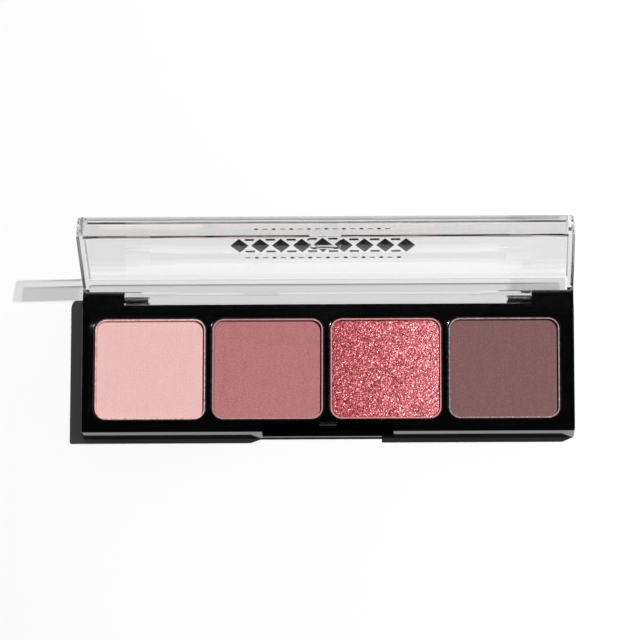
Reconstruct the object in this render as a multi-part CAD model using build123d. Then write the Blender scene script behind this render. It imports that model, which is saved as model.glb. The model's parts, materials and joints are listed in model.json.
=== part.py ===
from build123d import *
import os

os.makedirs("parts", exist_ok=True)

# Slim eyeshadow palette: four pressed powders in metal pans, a black two-piece base
# and a clear lid on two hinge pins. Millimetres.
# Origin: middle of the underside. +X right, +Y towards the hinge, +Z up.
# Every sub-part is built in its closed place. The lid is then turned open, to where
# its back rim lies parallel to the stop faces of the base, one rim gap away, because
# that is how the palette lies at rest.

# Base
base_width = 116.4
base_depth = 35.1
base_height = 6.82
case_wall = 1.0
case_floor = 1.2
case_corner = 0.5
case_draft = 0.14
top_edge_round = 0.3
bottom_edge_round = 0.25
front_y = -base_depth / 2
rear_y = base_depth / 2

# Hinge
knuckle_radius = 2.02
knuckle_width = 9.88
knuckle_inset = 0.1
hinge_y = rear_y - knuckle_radius
hinge_z = base_height - knuckle_radius
open_angle = 96.4
channel_radius = 2.25
body_rear_y = hinge_y - 1.73
knuckle_outer_x = base_width / 2 - knuckle_inset
knuckle_inner_x = knuckle_outer_x - knuckle_width
hinge_axis = Axis((0, hinge_y, hinge_z), (1, 0, 0))

# Hinge pins
pin_radius = 0.75
pin_press = 0.01
pin_running_gap = 0.05
pin_inner_x = 42.6
pin_outer_x = 57.3
pin_chamfer = 0.15

# Thumb notch in the middle of the front
notch_width = 31.0
notch_depth = 2.2
notch_ledge_z = 1.75
lip_setback = 0.2
snap_bead_width = 4.0
snap_bead_height = 0.3
snap_bead_z = 5.3

# Pans and wells
pan_count = 4
pan_width = 26.1
pan_length = 24.6
pan_corner = 2.7
pan_height = 3.6
pan_wall = 0.3
pan_pitch = 27.95
pan_rim_z = 5.95
pan_bottom_round = 0.25
pans_x = -0.2
pans_y = -1.88
pan_seats = (0.1, -0.07, -0.07, -0.07)  # how far each pan sits off its well's middle
pan_bottom_z = pan_rim_z - pan_height
pad_thickness = 0.2
pad_size = (20.0, 18.0)
pad_corner = 1.5
powder_drops = (0.9, 0.9, 0.6, 0.9)

# Inner tray
tray_gap = 0.05
tray_top_z = base_height - 0.05
tray_rear_y = 12.4
well_gap = 0.15
well_edge_round = 0.4
field_margin_x = 1.2
field_margin_y = 0.6
field_depth = 0.25
field_corner = 3.4
field_edge_round = 0.1

# Underside label
label_size = (44.0, 22.0)
label_x = 31.0
label_corner = 1.0
label_thickness = 0.12
label_recess = 0.22

# Lid
lid_side_gap = 0.05
lid_front_setback = 0.23
lid_rim_gap = 0.16
lid_depth = 5.1
lid_wall = 1.5
lid_panel = 1.65
lid_corner = 0.8
lid_draft = 0.25
lid_edge_round = 0.5
lid_inner_corner = 0.6
lid_inner_round = 0.3
barrel_radius = 1.95
barrel_core_radius = 1.7
barrel_core_x = 36.2
barrel_end_gap = 0.25
tab_width = 7.4
tab_thickness = 1.2
tab_tip_z = 3.9
tab_bead_width = 4.0
tab_bead_height = 0.2
tab_bead_z = 4.4
bead_radius = 0.45
lid_rim_z = base_height + lid_rim_gap
lid_top_z = lid_rim_z + lid_depth
lid_front_y = front_y + lid_front_setback
lid_rear_y = hinge_y + barrel_radius
barrel_end_x = knuckle_inner_x - barrel_end_gap


def block(x_range, y_range, z_range):
    """Box between two planes each way."""
    size = [high - low for low, high in (x_range, y_range, z_range)]
    centre = [(low + high) / 2 for low, high in (x_range, y_range, z_range)]
    return Pos(*centre) * Box(*size)


def rounded_plan(x_range, y_range, z, corner):
    """Level rectangle with rounded corners."""
    plan = RectangleRounded(x_range[1] - x_range[0], y_range[1] - y_range[0], corner)
    return Pos(sum(x_range) / 2, sum(y_range) / 2, z) * plan


def rounded_block(x_range, y_range, z_range, corner):
    """Box whose upright corners are rounded."""
    return extrude(rounded_plan(x_range, y_range, z_range[0], corner), z_range[1] - z_range[0])


def drafted_block(x_range, y_range, wide_z, narrow_z, draft, corner):
    """Rounded box whose side and front walls draw in from one level to another."""
    narrow_x = (x_range[0] + draft, x_range[1] - draft)
    narrow_y = (y_range[0] + draft, y_range[1])
    wide = rounded_plan(x_range, y_range, wide_z, corner)
    return loft([wide, rounded_plan(narrow_x, narrow_y, narrow_z, corner)])


def centred(middle, size):
    """Range of a size about a middle."""
    return (middle - size / 2, middle + size / 2)


def hinge_rod(x_range, radius):
    """Cylinder along the hinge axis."""
    middle = Pos(sum(x_range) / 2, hinge_y, hinge_z)
    return middle * Rot(0, 90, 0) * Cylinder(radius, x_range[1] - x_range[0])


def edges_at_height(shape, height):
    """Edges that lie in one level plane."""
    return shape.edges().filter_by_position(Axis.Z, height - 0.001, height + 0.001)


def mirrored_x(x_range, side):
    """Range on the +X side, or its mirror image when side is -1."""
    return tuple(sorted(side * x for x in x_range))


def well_centres():
    """X of the wells' centres, left to right."""
    first = pans_x - (pan_count - 1) / 2 * pan_pitch
    return [first + index * pan_pitch for index in range(pan_count)]


def bead(y, z, width):
    """Round ridge along X, centred on a wall face."""
    return Pos(0, y, z) * Rot(0, 90, 0) * Cylinder(bead_radius, width)


def knuckle(side):
    """Rear corner block: round about the hinge axis, with a sloping stop face below it."""
    x_range = mirrored_x((knuckle_inner_x, knuckle_outer_x), side)
    front = block(x_range, (body_rear_y - 1.0, hinge_y), (0, base_height))
    lean = open_angle - 90
    below = block(x_range, (-knuckle_radius, knuckle_radius), (-3 * knuckle_radius, 0))
    below = Pos(0, hinge_y, hinge_z) * Rot(-lean, 0, 0) * below
    above_ground = block(x_range, (front_y, rear_y + 1.0), (0, base_height))
    return (front + hinge_rod(x_range, knuckle_radius) + below) & above_ground


def notch_cut(rear_setback):
    """Space of the thumb notch above its ledge, back to the wall behind it."""
    y_range = (front_y - 1.0, front_y + notch_depth + rear_setback)
    return block(centred(0, notch_width), y_range, (notch_ledge_z, base_height + 1.0))


def make_base_case():
    """Outer case: floor, walls, knuckles and the lower lip of the thumb notch."""
    case = drafted_block(
        centred(0, base_width), (front_y, body_rear_y), base_height, 0, case_draft, case_corner
    )
    case = fillet(edges_at_height(case, base_height), top_edge_round)
    case = fillet(edges_at_height(case, 0), bottom_edge_round)
    for side in (-1, 1):
        case += knuckle(side)
    case -= rounded_block(
        centred(0, base_width - 2 * case_wall),
        (front_y + case_wall, tray_rear_y + tray_gap),
        (case_floor, base_height + 1.0),
        case_corner,
    )
    case -= hinge_rod((-knuckle_inner_x, knuckle_inner_x), channel_radius)
    case -= notch_cut(0)
    lip_range = (front_y - 1.0, front_y + lip_setback)
    case -= block(centred(0, notch_width), lip_range, (-1.0, notch_ledge_z + 1.0))
    case -= rounded_block(
        centred(label_x, label_size[0] + 0.3),
        centred(0, label_size[1] + 0.3),
        (-1.0, label_recess),
        label_corner,
    )
    for side in (-1, 1):
        hole_x = mirrored_x((knuckle_inner_x - 1.0, knuckle_outer_x + 1.0), side)
        case -= hinge_rod(hole_x, pin_radius - pin_press)
    return case


def make_pan_tray():
    """Inner tray: four wells in a shallow sunk field, and the wall behind the notch."""
    half_width = base_width / 2 - case_wall - tray_gap
    y_range = (front_y + case_wall + tray_gap, tray_rear_y)
    tray = rounded_block((-half_width, half_width), y_range, (case_floor, tray_top_z), case_corner)
    field_x = centred(pans_x, (pan_count - 1) * pan_pitch + pan_width + 2 * field_margin_x)
    field_y = centred(pans_y, pan_length + 2 * field_margin_y)
    field_z = tray_top_z - field_depth
    tray -= rounded_block(field_x, field_y, (field_z, base_height + 1.0), field_corner)
    tray = fillet(edges_at_height(tray, field_z), field_edge_round)
    well_z = pan_bottom_z - pad_thickness
    for x in well_centres():
        tray -= rounded_block(
            centred(x, pan_width + 2 * well_gap),
            centred(pans_y, pan_length + 2 * well_gap),
            (well_z, base_height + 1.0),
            pan_corner + well_gap,
        )
    rims = edges_at_height(tray, field_z)
    well_rims = rims.filter_by_position(Axis.X, field_x[0] + 0.5, field_x[1] - 0.5)
    well_rims = well_rims.filter_by_position(Axis.Y, field_y[0] + 0.3, field_y[1] - 0.3)
    tray = fillet(well_rims, well_edge_round)
    tray -= notch_cut(0)
    tray += bead(front_y + notch_depth + bead_radius - snap_bead_height, snap_bead_z, snap_bead_width)
    return tray


def make_pan(x):
    """Drawn metal pan with a rounded bottom edge."""
    x_range = centred(x, pan_width)
    y_range = centred(pans_y, pan_length)
    pan = rounded_block(x_range, y_range, (pan_bottom_z, pan_rim_z), pan_corner)
    pan = fillet(edges_at_height(pan, pan_bottom_z), pan_bottom_round)
    return pan - rounded_block(
        centred(x, pan_width - 2 * pan_wall),
        centred(pans_y, pan_length - 2 * pan_wall),
        (pan_bottom_z + pan_wall, base_height),
        pan_corner - pan_wall,
    )


def make_powder(x, drop):
    """Pressed cake that fills its pan up to a drop below the rim."""
    return rounded_block(
        centred(x, pan_width - 2 * pan_wall),
        centred(pans_y, pan_length - 2 * pan_wall),
        (pan_bottom_z + pan_wall, pan_rim_z - drop),
        pan_corner - pan_wall,
    )


def make_pan_pad(x):
    """Adhesive pad between a pan and the bottom of its well."""
    z_range = (pan_bottom_z - pad_thickness, pan_bottom_z)
    return rounded_block(centred(x, pad_size[0]), centred(pans_y, pad_size[1]), z_range, pad_corner)


def make_hinge_pin(side):
    """Steel pin pressed into a knuckle, with its inner half in the lid's barrel."""
    pin = hinge_rod(mirrored_x((pin_inner_x, pin_outer_x), side), pin_radius)
    return chamfer(pin.edges().filter_by(GeomType.CIRCLE), pin_chamfer)


def make_underside_label():
    """Blank label that sits deeper than the surface the palette rests on."""
    z_range = (label_recess - label_thickness, label_recess)
    return rounded_block(
        centred(label_x, label_size[0]), centred(0, label_size[1]), z_range, label_corner
    )


def snap_tab():
    """Tab under the middle of the lid's front wall, with a bead on its inner face."""
    tab_y = (lid_front_y, lid_front_y + tab_thickness)
    tab = rounded_tab(tab_y)
    return tab + bead(tab_y[1] - bead_radius + tab_bead_height, tab_bead_z, tab_bead_width)


def rounded_tab(tab_y):
    """Plate whose two lower corners are rounded."""
    tab = block(centred(0, tab_width), tab_y, (tab_tip_z, lid_rim_z))
    lower_corners = edges_at_height(tab, tab_tip_z).filter_by(Axis.Y)
    return fillet(lower_corners, 1.0)


def lid_hinge():
    """Barrel and the web that joins it to the back wall; its middle is slimmer."""
    ends_x = (-barrel_end_x, barrel_end_x)
    web = block(ends_x, (lid_rear_y - lid_wall, lid_rear_y), (hinge_z, lid_rim_z + lid_wall))
    barrel = hinge_rod((-barrel_core_x, barrel_core_x), barrel_core_radius)
    for side in (-1, 1):
        barrel += hinge_rod(mirrored_x((barrel_core_x, barrel_end_x), side), barrel_radius)
    return barrel + web


def make_lid():
    """Clear lid, built closed and then turned open to just short of the stop faces."""
    half_width = base_width / 2 - lid_side_gap
    lid = drafted_block(
        (-half_width, half_width),
        (lid_front_y, lid_rear_y),
        lid_rim_z,
        lid_top_z,
        lid_draft,
        lid_corner,
    )
    lid = fillet(edges_at_height(lid, lid_top_z), lid_edge_round)
    hollow = rounded_block(
        (-half_width + lid_wall, half_width - lid_wall),
        (lid_front_y + lid_wall, lid_rear_y - lid_wall),
        (lid_rim_z, lid_top_z - lid_panel),
        lid_inner_corner,
    )
    hollow = fillet(edges_at_height(hollow, lid_top_z - lid_panel), lid_inner_round)
    lid = lid - hollow + snap_tab() + lid_hinge()
    for side in (-1, 1):
        hole_x = mirrored_x((pin_inner_x - 0.3, barrel_end_x + 1.0), side)
        lid -= hinge_rod(hole_x, pin_radius + pin_running_gap)
    return lid.rotate(hinge_axis, -open_angle)


def save(shape, node):
    export_step(shape, f"parts/{node}.step")


save(make_base_case(), "base_case")
save(make_pan_tray(), "pan_tray")
save(make_lid(), "lid")
save(make_hinge_pin(-1), "hinge_pin_left")
save(make_hinge_pin(1), "hinge_pin_right")
save(make_underside_label(), "underside_label")
pan_centres = [x + seat for x, seat in zip(well_centres(), pan_seats)]
for number, (x, drop) in enumerate(zip(pan_centres, powder_drops), start=1):
    save(make_pan(x), f"pan_{number}")
    save(make_powder(x, drop), f"powder_{number}")
    save(make_pan_pad(x), f"pan_pad_{number}")
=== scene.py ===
import json
import math

import bmesh
import bpy
import numpy as np
from mathutils import Matrix, Vector, noise


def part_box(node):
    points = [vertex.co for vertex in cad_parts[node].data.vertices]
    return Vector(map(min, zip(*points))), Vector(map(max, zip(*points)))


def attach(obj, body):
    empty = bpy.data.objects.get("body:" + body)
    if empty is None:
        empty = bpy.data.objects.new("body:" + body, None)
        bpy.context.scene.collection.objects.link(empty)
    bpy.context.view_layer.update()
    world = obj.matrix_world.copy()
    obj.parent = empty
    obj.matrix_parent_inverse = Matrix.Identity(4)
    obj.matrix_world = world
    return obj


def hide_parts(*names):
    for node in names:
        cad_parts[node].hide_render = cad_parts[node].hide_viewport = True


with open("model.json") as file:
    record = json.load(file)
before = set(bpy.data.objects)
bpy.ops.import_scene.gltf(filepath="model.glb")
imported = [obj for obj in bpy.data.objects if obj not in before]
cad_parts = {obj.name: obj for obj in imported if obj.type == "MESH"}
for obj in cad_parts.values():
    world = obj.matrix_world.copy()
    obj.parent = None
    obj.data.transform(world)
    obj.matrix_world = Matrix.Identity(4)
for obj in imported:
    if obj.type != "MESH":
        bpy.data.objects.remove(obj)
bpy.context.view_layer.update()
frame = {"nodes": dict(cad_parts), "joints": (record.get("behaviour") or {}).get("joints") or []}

MM = 0.001
NODES = frame["nodes"]

# Colours are linear.
BLACK_PLASTIC = (0.0006, 0.0006, 0.0007)
FLOOR_WHITE = (0.91, 0.91, 0.91)
INK_BLACK = (0.008, 0.008, 0.009)
PAN_METAL = (0.34, 0.31, 0.30)
PIN_STEEL = (0.60, 0.60, 0.60)
LABEL_PAPER = (0.70, 0.70, 0.69)
PAD_FOAM = (0.75, 0.72, 0.66)
POWDERS = {
    "powder_1": {"colour": (0.78, 0.475, 0.46), "grain": 0.09, "seed": 11},
    "powder_2": {"colour": (0.43, 0.168, 0.172), "grain": 0.2, "seed": 23},
    "powder_3": {"colour": (0.55, 0.165, 0.175), "seed": 37},
    "powder_4": {"colour": (0.20, 0.10, 0.098), "grain": 0.22, "seed": 53},
}
GLITTER = "powder_3"
GLITTER_TONES = [
    (0.0, (0.14, 0.012, 0.015)),
    (0.35, (0.36, 0.06, 0.07)),
    (0.7, (0.62, 0.185, 0.205)),
    (1.0, (0.95, 0.48, 0.50)),
]
STREAK_SHARE = 0.2
CLEAR_IOR = 1.57
# Light that a lamp sends through the lid, from face on to grazing. It stands in for refraction.
LID_LETS_THROUGH = ((0.0, 0.945), (0.6, 0.8), (0.85, 0.62), (1.0, 0.31))


# ---------------------------------------------------------------- camera and light

CAMERA_TARGET = Vector((-2.02, 11.85, 0.0)) * MM
CAMERA_ANGLES = [math.radians(angle) for angle in (16.65, 1.262, 0.0785)]
CAMERA_DISTANCE = 1591.3 * MM
CAMERA_LENS = 376.7
SENSOR_WIDTH = 36.0
KEY_AIM = Vector((-58.0, 10.0, 0.0)) * MM
KEY_DIRECTION = Vector((0.455, 0.128, 1.0))
KEY_HEIGHT = 2000 * MM
KEY_SIZE = 36 * MM
KEY_POWER = 53.8
# Sky tone by height, and its strength from the front to the back.
SKY_TONES = ((0.0, 0.35), (0.35, 0.2), (0.8, 0.025))
SKY_FRONT = 0.4
SKY_BACK = 1.2
SKY_REACH = 0.7
FLOOR_HALF = 3000 * MM
# Just under the case, so that the floor and the underside don't share a plane.
FLOOR_LEVEL = -0.02 * MM


def add_camera():
    camera = bpy.data.objects.new("camera", bpy.data.cameras.new("camera"))
    bpy.context.collection.objects.link(camera)
    camera.data.sensor_width = SENSOR_WIDTH
    camera.data.lens = CAMERA_LENS
    camera.rotation_euler = CAMERA_ANGLES
    back = camera.rotation_euler.to_matrix() @ Vector((0, 0, CAMERA_DISTANCE))
    camera.location = CAMERA_TARGET + back
    bpy.context.scene.camera = camera


def add_key_light():
    lamp = bpy.data.lights.new("key", "AREA")
    lamp.shape = "DISK"
    lamp.size = KEY_SIZE
    lamp.energy = KEY_POWER
    key = bpy.data.objects.new("key", lamp)
    bpy.context.collection.objects.link(key)
    key.location = KEY_AIM + KEY_DIRECTION * KEY_HEIGHT
    key.rotation_euler = KEY_DIRECTION.to_track_quat("Z", "Y").to_euler()


def add_world():
    """Dim studio: dark overhead, paler towards the horizon, dimmer in front than behind."""
    world = bpy.data.worlds.new("studio")
    world.use_nodes = True
    bpy.context.scene.world = world
    tree = world.node_tree
    coords = tree.nodes.new("ShaderNodeTexCoord")
    split = tree.nodes.new("ShaderNodeSeparateXYZ")
    height = ramp(tree, split.outputs["Z"], greys(*SKY_TONES))
    tree.links.new(coords.outputs["Generated"], split.inputs[0])
    tree.links.new(height, tree.nodes["Background"].inputs["Color"])
    depth = spread(tree, split.outputs["Y"], SKY_FRONT, SKY_BACK, -SKY_REACH, SKY_REACH)
    tree.links.new(depth, tree.nodes["Background"].inputs["Strength"])


def add_floor():
    mesh = bpy.data.meshes.new("floor")
    outline = ((-1, -1), (1, -1), (1, 1), (-1, 1))
    corners = [(x * FLOOR_HALF, y * FLOOR_HALF, FLOOR_LEVEL) for x, y in outline]
    mesh.from_pydata(corners, [], [(0, 1, 2, 3)])
    floor = bpy.data.objects.new("floor", mesh)
    bpy.context.collection.objects.link(floor)
    material, tree, shader = new_material("floor_paper", FLOOR_WHITE, 0.9)
    shader.inputs["Specular IOR Level"].default_value = 0.1
    fine = texture(tree, "ShaderNodeTexNoise", Scale=900.0, Detail=3.0)
    bump(tree, shader, fine.outputs["Fac"], 0.05, 0.02 * MM)
    mesh.materials.append(material)


# ---------------------------------------------------------------- node helpers


def new_material(name, colour, roughness, metallic=0.0):
    material = bpy.data.materials.new(name)
    material.use_nodes = True
    tree = material.node_tree
    shader = tree.nodes["Principled BSDF"]
    shader.inputs["Base Color"].default_value = (*colour, 1)
    shader.inputs["Roughness"].default_value = roughness
    shader.inputs["Metallic"].default_value = metallic
    return material, tree, shader


def texture(tree, kind, stretch=(1, 1, 1), **values):
    """Procedural texture on the piece's own coordinates, in metres."""
    coords = tree.nodes.new("ShaderNodeTexCoord")
    mapping = tree.nodes.new("ShaderNodeMapping")
    mapping.inputs["Scale"].default_value = stretch
    node = tree.nodes.new(kind)
    tree.links.new(coords.outputs["Object"], mapping.inputs["Vector"])
    tree.links.new(mapping.outputs["Vector"], node.inputs["Vector"])
    for name, value in values.items():
        node.inputs[name].default_value = value
    return node


def ramp(tree, factor, stops):
    """Colour ramp with (position, colour) stops."""
    node = tree.nodes.new("ShaderNodeValToRGB")
    elements = node.color_ramp.elements
    while len(elements) < len(stops):
        elements.new(0.5)
    for element, (position, colour) in zip(elements, stops):
        element.position = position
        element.color = (*colour, 1)
    tree.links.new(factor, node.inputs["Fac"])
    return node.outputs["Color"]


def greys(*stops):
    """Ramp stops of neutral grey from (position, value) pairs."""
    return [(position, (value, value, value)) for position, value in stops]


def spread(tree, factor, low, high, start=0.0, end=1.0):
    """Maps a value between start and end to the range low to high."""
    node = tree.nodes.new("ShaderNodeMapRange")
    for name, value in (("From Min", start), ("From Max", end), ("To Min", low), ("To Max", high)):
        node.inputs[name].default_value = value
    tree.links.new(factor, node.inputs["Value"])
    return node.outputs["Result"]


def bump(tree, shader, height, strength, distance):
    node = tree.nodes.new("ShaderNodeBump")
    node.inputs["Strength"].default_value = strength
    node.inputs["Distance"].default_value = distance
    tree.links.new(height, node.inputs["Height"])
    tree.links.new(node.outputs["Normal"], shader.inputs["Normal"])


def shade(colour, factor):
    return tuple(min(channel * factor, 1.0) for channel in colour)


# ---------------------------------------------------------------- materials


def black_plastic(name, roughness):
    """Glossy moulded plastic with faint handling marks."""
    material, tree, shader = new_material(name, BLACK_PLASTIC, roughness)
    marks = texture(tree, "ShaderNodeTexNoise", stretch=(1, 6, 1), Scale=180.0, Detail=6.0)
    rough = spread(tree, marks.outputs["Fac"], roughness * 0.7, roughness * 1.5, 0.35, 0.8)
    tree.links.new(rough, shader.inputs["Roughness"])
    waves = texture(tree, "ShaderNodeTexNoise", Scale=60.0, Detail=1.0)
    bump(tree, shader, waves.outputs["Fac"], 0.15, 0.02 * MM)
    return material


def clear_plastic():
    """Clear moulded plastic. Lamps shine through it, less where they graze it."""
    material, tree, shader = new_material("clear_plastic", (1.0, 1.0, 1.0), 0.0)
    shader.inputs["Transmission Weight"].default_value = 1.0
    shader.inputs["IOR"].default_value = CLEAR_IOR
    flow = texture(tree, "ShaderNodeTexNoise", Scale=70.0, Detail=1.0)
    bump(tree, shader, flow.outputs["Fac"], 0.25, 0.06 * MM)
    facing = tree.nodes.new("ShaderNodeLayerWeight")
    facing.inputs["Blend"].default_value = 0.5
    dimmed = ramp(tree, facing.outputs["Facing"], greys(*LID_LETS_THROUGH))
    clear = tree.nodes.new("ShaderNodeBsdfTransparent")
    tree.links.new(dimmed, clear.inputs["Color"])
    path = tree.nodes.new("ShaderNodeLightPath")
    mix = tree.nodes.new("ShaderNodeMixShader")
    tree.links.new(path.outputs["Is Shadow Ray"], mix.inputs["Fac"])
    tree.links.new(shader.outputs["BSDF"], mix.inputs[1])
    tree.links.new(clear.outputs["BSDF"], mix.inputs[2])
    tree.links.new(mix.outputs["Shader"], tree.nodes["Material Output"].inputs["Surface"])
    return material


def satin_metal(name, colour, roughness, dust=None):
    """Metal with fine drawing lines, and a little powder left on it."""
    material, tree, shader = new_material(name, colour, roughness, 1.0)
    lines = texture(tree, "ShaderNodeTexNoise", stretch=(1, 1, 12), Scale=900.0, Detail=3.0)
    rough = spread(tree, lines.outputs["Fac"], roughness * 0.8, roughness * 1.3)
    tree.links.new(rough, shader.inputs["Roughness"])
    if dust:
        specks = texture(tree, "ShaderNodeTexNoise", Scale=1500.0, Detail=4.0)
        colours = ramp(tree, specks.outputs["Fac"], [(0.3, colour), (0.6, shade(dust, 1.1))])
        tree.links.new(colours, shader.inputs["Base Color"])
        bare = spread(tree, specks.outputs["Fac"], 0.8, 0.1, 0.3, 0.6)
        tree.links.new(bare, shader.inputs["Metallic"])
    return material


def pressed_powder(name, colour, grain):
    """Matte pressed pigment: fine grain, faint press streaks."""
    material, tree, shader = new_material(name, colour, 0.95)
    shader.inputs["Specular IOR Level"].default_value = 0.15
    shader.inputs["Sheen Weight"].default_value = 0.08
    shader.inputs["Sheen Roughness"].default_value = 0.6
    fine = texture(tree, "ShaderNodeTexNoise", Scale=2600.0, Detail=3.0)
    streaks = texture(tree, "ShaderNodeTexNoise", stretch=(1, 0.18, 1), Scale=1300.0, Detail=2.0)
    add = tree.nodes.new("ShaderNodeMath")
    add.operation = "MULTIPLY_ADD"
    add.inputs[1].default_value = 1 - STREAK_SHARE
    tree.links.new(fine.outputs["Fac"], add.inputs[0])
    faint = tree.nodes.new("ShaderNodeMath")
    faint.operation = "MULTIPLY"
    faint.inputs[1].default_value = STREAK_SHARE
    tree.links.new(streaks.outputs["Fac"], faint.inputs[0])
    tree.links.new(faint.outputs[0], add.inputs[2])
    colours = ramp(
        tree, add.outputs[0], [(0.3, shade(colour, 1 - grain)), (0.7, shade(colour, 1 + grain))]
    )
    tree.links.new(colours, shader.inputs["Base Color"])
    bump(tree, shader, fine.outputs["Fac"], 0.5, 0.03 * MM)
    return material


def glitter_powder(name, colour):
    """Pearly flakes in a red base; each facet has its own tone, with painted light that makes the tones
    paler towards the right.
    """
    material, tree, shader = new_material(name, colour, 0.5, 0.85)
    shader.inputs["Specular IOR Level"].default_value = 0.2
    tone = tree.nodes.new("ShaderNodeAttribute")
    tone.attribute_name = "tone"
    colours = ramp(tree, tone.outputs["Fac"], GLITTER_TONES)
    tree.links.new(colours, shader.inputs["Base Color"])
    rough = spread(tree, tone.outputs["Fac"], 0.65, 0.48)
    tree.links.new(rough, shader.inputs["Roughness"])
    fine = texture(tree, "ShaderNodeTexNoise", Scale=4000.0, Detail=2.0)
    bump(tree, shader, fine.outputs["Fac"], 0.4, 0.02 * MM)
    return material


def plain_surface(name, colour, roughness, scale):
    """Paper, foam or ink: one colour with a fine tooth."""
    material, tree, shader = new_material(name, colour, roughness)
    tooth = texture(tree, "ShaderNodeTexNoise", Scale=scale, Detail=4.0)
    tones = ramp(tree, tooth.outputs["Fac"], [(0.3, shade(colour, 0.94)), (0.7, shade(colour, 1.05))])
    tree.links.new(tones, shader.inputs["Base Color"])
    bump(tree, shader, tooth.outputs["Fac"], 0.2, 0.02 * MM)
    return material


def dress(node, material):
    """Gives a CAD node its material."""
    for slot in NODES[node].material_slots:
        slot.material = material


# ---------------------------------------------------------------- powder cakes

CAKE_CORNER = 2.4 * MM
CORNER_ROWS = 14
MATTE_STEP = 0.2 * MM
MATTE_EDGE_SINK = 0.10 * MM
MATTE_EDGE_REACH = 0.22 * MM
WAVE_HEIGHT = 0.020 * MM
GRAIN_HEIGHT = 0.008 * MM
WEAVE_HEIGHT = 0.004 * MM
WEAVE_PITCH = 0.78 * MM
RELIEF_FADE = 0.3 * MM
RELIEF_LIMIT = 0.03 * MM
FLAKE_STEP = 0.23 * MM
# Sideways shift as a share of the step, and rise in millimetres.
FLAKE_SHIFT = 0.35
FLAKE_LIFT = 0.038
FLAKE_EDGE_SINK = 0.08 * MM
FLAKE_EDGE_REACH = 0.3 * MM
FLAKE_WAVE_HEIGHT = 0.03 * MM
# Tone of the flakes: in the middle, its rise from left to right, which is painted light, paler on the
# lamp's side, and its spread.
TONE_MIDDLE = 0.42
PAINTED_LIGHT_RISE = 0.22
TONE_SPREAD = 0.3


def cake_rows(half_y, corner, step):
    """Row positions across a rounded rectangle, finer round its corners."""
    straight = np.linspace(-(half_y - corner), half_y - corner, int(2 * (half_y - corner) / step) + 1)
    turns = np.linspace(0, math.pi / 2, CORNER_ROWS)[1:]
    bend = half_y - corner + corner * np.sin(turns)
    return np.concatenate([-bend[::-1], straight, bend])


def cake_grid(box, corner, step):
    """Grid of points that fills a rounded rectangle, and each point's distance to its edge."""
    half_x = (box[1][0] - box[0][0]) / 2
    half_y = (box[1][1] - box[0][1]) / 2
    rows = cake_rows(half_y, corner, step)
    columns = np.linspace(-1, 1, int(2 * half_x / step) + 1)
    into_corner = np.maximum(np.abs(rows) - (half_y - corner), 0)
    row_half = half_x - corner + np.sqrt(np.maximum(corner**2 - into_corner**2, 0))
    x = columns[None, :] * row_half[:, None]
    y = np.repeat(rows[:, None], len(columns), axis=1)
    out_x = np.maximum(np.abs(x) - (half_x - corner), 0)
    out_y = np.maximum(np.abs(y) - (half_y - corner), 0)
    round_edge = corner - np.hypot(out_x, out_y)
    straight_edge = np.minimum(half_x - np.abs(x), half_y - np.abs(y))
    edge = np.where((out_x > 0) & (out_y > 0), round_edge, straight_edge)
    return x, y, np.maximum(edge, 0)


def close_cake(name, box, x, y, z):
    """Closed mesh: the top surface, side walls and a flat bottom."""
    centre_x = (box[0][0] + box[1][0]) / 2
    centre_y = (box[0][1] + box[1][1]) / 2
    row_count, column_count = x.shape
    top = np.stack([x + centre_x, y + centre_y, z], axis=-1).reshape(-1, 3)
    index = np.arange(row_count * column_count).reshape(row_count, column_count)
    faces = [
        (index[r, c], index[r, c + 1], index[r + 1, c + 1], index[r + 1, c])
        for r in range(row_count - 1)
        for c in range(column_count - 1)
    ]
    ring = [*index[0, :], *index[1:, -1], *index[-1, -2::-1], *index[-2:0:-1, 0]]
    low = top[ring].copy()
    low[:, 2] = box[0][2]
    start = len(top)
    count = len(ring)
    for i in range(count):
        after = (i + 1) % count
        faces.append((ring[after], ring[i], start + i, start + after))
    faces.append(tuple(start + i for i in reversed(range(count))))
    mesh = bpy.data.meshes.new(name)
    mesh.from_pydata(np.concatenate([top, low]).tolist(), [], [tuple(int(v) for v in f) for f in faces])
    return mesh


def smooth_noise(points_x, points_y, scale, seed):
    """Smooth noise over a grid, about -1 to 1."""
    flat = [
        noise.noise(Vector((px * scale, py * scale, seed)))
        for px, py in zip(points_x.ravel(), points_y.ravel())
    ]
    return np.array(flat).reshape(points_x.shape)


def matte_cake(node, facts):
    """Pressed cake with a soft edge, a faint weave from the press cloth and slight waves."""
    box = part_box(node)
    x, y, edge = cake_grid(box, CAKE_CORNER, MATTE_STEP)
    sunk = MATTE_EDGE_SINK * np.exp(-edge / MATTE_EDGE_REACH)
    waves = WAVE_HEIGHT * smooth_noise(x, y, 260, facts["seed"])
    grain = GRAIN_HEIGHT * smooth_noise(x, y, 1900, facts["seed"] + 0.5)
    weave = WEAVE_HEIGHT * (np.sin(x * 2 * math.pi / WEAVE_PITCH) + np.sin(y * 2 * math.pi / WEAVE_PITCH))
    top = box[1][2] - sunk + (waves + grain + weave) * np.minimum(edge / RELIEF_FADE, 1)
    mesh = close_cake(node + "_cake", box, x, y, np.minimum(top, box[1][2] + RELIEF_LIMIT))
    mesh.shade_smooth()
    mesh.materials.append(pressed_powder(node + "_pigment", facts["colour"], facts["grain"]))
    return mesh


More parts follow.
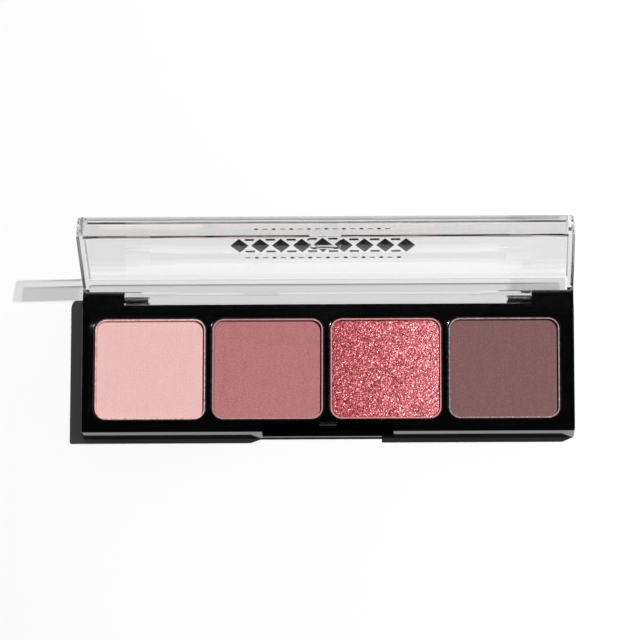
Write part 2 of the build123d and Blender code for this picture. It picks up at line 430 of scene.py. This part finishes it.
def glitter_cake(node, facts):
    """Cake of fine flakes: each facet has its own tilt and tone, with painted light that makes it paler
    towards the right, the lamp's side.
    """
    rng = np.random.default_rng(facts["seed"])
    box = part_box(node)
    x, y, edge = cake_grid(box, CAKE_CORNER, FLAKE_STEP)
    inner = edge > 0.5 * FLAKE_STEP
    x = x + inner * rng.uniform(-FLAKE_SHIFT, FLAKE_SHIFT, x.shape) * FLAKE_STEP
    y = y + inner * rng.uniform(-FLAKE_SHIFT, FLAKE_SHIFT, y.shape) * FLAKE_STEP
    sunk = FLAKE_EDGE_SINK * np.exp(-edge / FLAKE_EDGE_REACH)
    rough = inner * rng.uniform(-FLAKE_LIFT, FLAKE_LIFT, x.shape) * MM
    waves = FLAKE_WAVE_HEIGHT * smooth_noise(x, y, 300, facts["seed"])
    mesh = close_cake(node + "_cake", box, x, y, box[1][2] - sunk + rough + waves * inner)
    split_facets(mesh, rng)
    across = np.array([face.center.x for face in mesh.polygons])
    across = (across - across.mean()) / (across.max() - across.min())
    # Painted light: the flake tones rise towards the right, where the lamp is.
    tones = np.clip(rng.normal(TONE_MIDDLE + PAINTED_LIGHT_RISE * across, TONE_SPREAD), 0, 1)
    mesh.attributes.new("tone", "FLOAT", "FACE").data.foreach_set("value", tones.astype(np.float32))
    mesh.materials.append(glitter_powder(node + "_flakes", facts["colour"]))
    return mesh


def split_facets(mesh, rng):
    """Splits each four-sided top facet along one diagonal or the other."""
    work = bmesh.new()
    work.from_mesh(mesh)
    quads = [face for face in work.faces if len(face.verts) == 4 and face.normal.z > 0.5]
    for face in quads:
        turn = int(rng.integers(0, 2))
        bmesh.utils.face_split(face, face.verts[turn], face.verts[turn + 2])
    work.to_mesh(mesh)
    work.free()


def add_powders():
    for node, facts in POWDERS.items():
        mesh = glitter_cake(node, facts) if node == GLITTER else matte_cake(node, facts)
        cake = bpy.data.objects.new(node + "_cake", mesh)
        bpy.context.collection.objects.link(cake)
        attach(cake, "base")
        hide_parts(node)


# ---------------------------------------------------------------- lid ornament

# Sizes, pitches and rows are in millimetres about the ornament's middle, on the closed lid.
LOZENGE_SIZE = (4.3, 8.0)
SHORT_BAR_SIZE = (2.2, 1.1)
SMALL_BAR_SIZE = (1.2, 0.45)
DOT_DIAMETER = 1.0
DOT_SIDES = 16
LOZENGE_COUNT = 9
LOZENGE_PITCH = 4.9
SHORT_BAR_ROW = 3.4
FRONT_ROW = {"count": 16, "pitch": 2.05, "y": -8.6}
BACK_ROW = {"count": 18, "pitch": 2.1, "y": 7.1}
INK_GAP = 0.004 * MM
INK_THICKNESS = 0.012 * MM
ORNAMENT_X = -0.9 * MM
ORNAMENT_Y = -2.35 * MM


def hinge_turn():
    """Matrix that turns the closed lid to its place at rest."""
    joint = frame["joints"][0]
    pivot = Matrix.Translation(Vector(joint["pos_m"]))
    angle = -math.radians(joint["range_deg"][1])
    return pivot @ Matrix.Rotation(angle, 4, "X") @ pivot.inverted()


def closed_lid_box(turn):
    """Lowest and highest corner of the lid in its closed place."""
    back = turn.inverted()
    corners = np.array([back @ vertex.co for vertex in NODES["lid"].data.vertices])
    return corners.min(0), corners.max(0)


def lozenge(width, height):
    return [(width / 2, 0), (0, height / 2), (-width / 2, 0), (0, -height / 2)]


def bar(width, height):
    return [
        (width / 2, -height / 2),
        (width / 2, height / 2),
        (-width / 2, height / 2),
        (-width / 2, -height / 2),
    ]


def dot(diameter):
    turns = [2 * math.pi * step / DOT_SIDES for step in range(DOT_SIDES)]
    return [(diameter / 2 * math.cos(turn), diameter / 2 * math.sin(turn)) for turn in turns]


def row_x(index, count, pitch):
    """Place of one mark in a row that is centred on the middle."""
    return (index - (count - 1) / 2) * pitch


def fine_row(row, first, second):
    """Row of small marks that alternate."""
    marks = []
    for i in range(row["count"]):
        marks.append((second if i % 2 else first, row_x(i, row["count"], row["pitch"]), row["y"]))
    return marks


def ornament_shapes():
    """(outline, x, y) of each ink mark, in millimetres about the ornament's middle."""
    marks = []
    for i in range(LOZENGE_COUNT):
        marks.append((lozenge(*LOZENGE_SIZE), row_x(i, LOZENGE_COUNT, LOZENGE_PITCH), 0.0))
    for i in range(LOZENGE_COUNT - 1):
        for side in (-1, 1):
            x = row_x(i, LOZENGE_COUNT - 1, LOZENGE_PITCH)
            marks.append((bar(*SHORT_BAR_SIZE), x, side * SHORT_BAR_ROW))
    small_bar = bar(*SMALL_BAR_SIZE)
    small_dot = dot(DOT_DIAMETER)
    marks += fine_row(FRONT_ROW, small_dot, small_bar)
    marks += fine_row(BACK_ROW, small_bar, small_dot)
    return marks


def add_ornament():
    """Ink ornament on the outside of the lid."""
    turn = hinge_turn()
    low, high = closed_lid_box(turn)
    middle = Vector((ORNAMENT_X, (low[1] + high[1]) / 2 + ORNAMENT_Y, high[2]))
    work = bmesh.new()
    for outline, x, y in ornament_shapes():
        ring = [
            work.verts.new(middle + Vector(((px + x) * MM, (py + y) * MM, INK_GAP))) for px, py in outline
        ]
        face = work.faces.new(ring)
        made = bmesh.ops.extrude_face_region(work, geom=[face])
        lifted = [item for item in made["geom"] if isinstance(item, bmesh.types.BMVert)]
        bmesh.ops.translate(work, verts=lifted, vec=Vector((0, 0, INK_THICKNESS)))
    bmesh.ops.recalc_face_normals(work, faces=work.faces)
    work.transform(turn)
    mesh = bpy.data.meshes.new("lid_ornament")
    work.to_mesh(mesh)
    work.free()
    mesh.materials.append(plain_surface("print_ink", INK_BLACK, 0.4, 1500.0))
    ornament = bpy.data.objects.new("lid_ornament", mesh)
    bpy.context.collection.objects.link(ornament)
    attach(ornament, "lid")


# ---------------------------------------------------------------- build

bpy.context.scene.view_settings.view_transform = "Standard"
bpy.context.scene.cycles.max_bounces = 40
bpy.context.scene.cycles.glossy_bounces = 32
bpy.context.scene.cycles.transmission_bounces = 32
bpy.context.scene.cycles.transparent_max_bounces = 24
bpy.context.scene.cycles.caustics_reflective = False
bpy.context.scene.cycles.caustics_refractive = False

add_camera()
add_key_light()
add_world()
add_floor()
dress("base_case", black_plastic("case_plastic", 0.08))
dress("pan_tray", black_plastic("tray_plastic", 0.10))
dress("lid", clear_plastic())
for side in ("left", "right"):
    dress("hinge_pin_" + side, satin_metal("pin_steel_" + side, PIN_STEEL, 0.15))
for number in range(1, 5):
    dust = POWDERS[f"powder_{number}"]["colour"]
    dress(f"pan_{number}", satin_metal(f"pan_metal_{number}", PAN_METAL, 0.38, dust))
    dress(f"pan_pad_{number}", plain_surface(f"pad_foam_{number}", PAD_FOAM, 0.9, 2500.0))
dress("underside_label", plain_surface("label_paper", LABEL_PAPER, 0.6, 2500.0))
add_powders()
add_ornament()
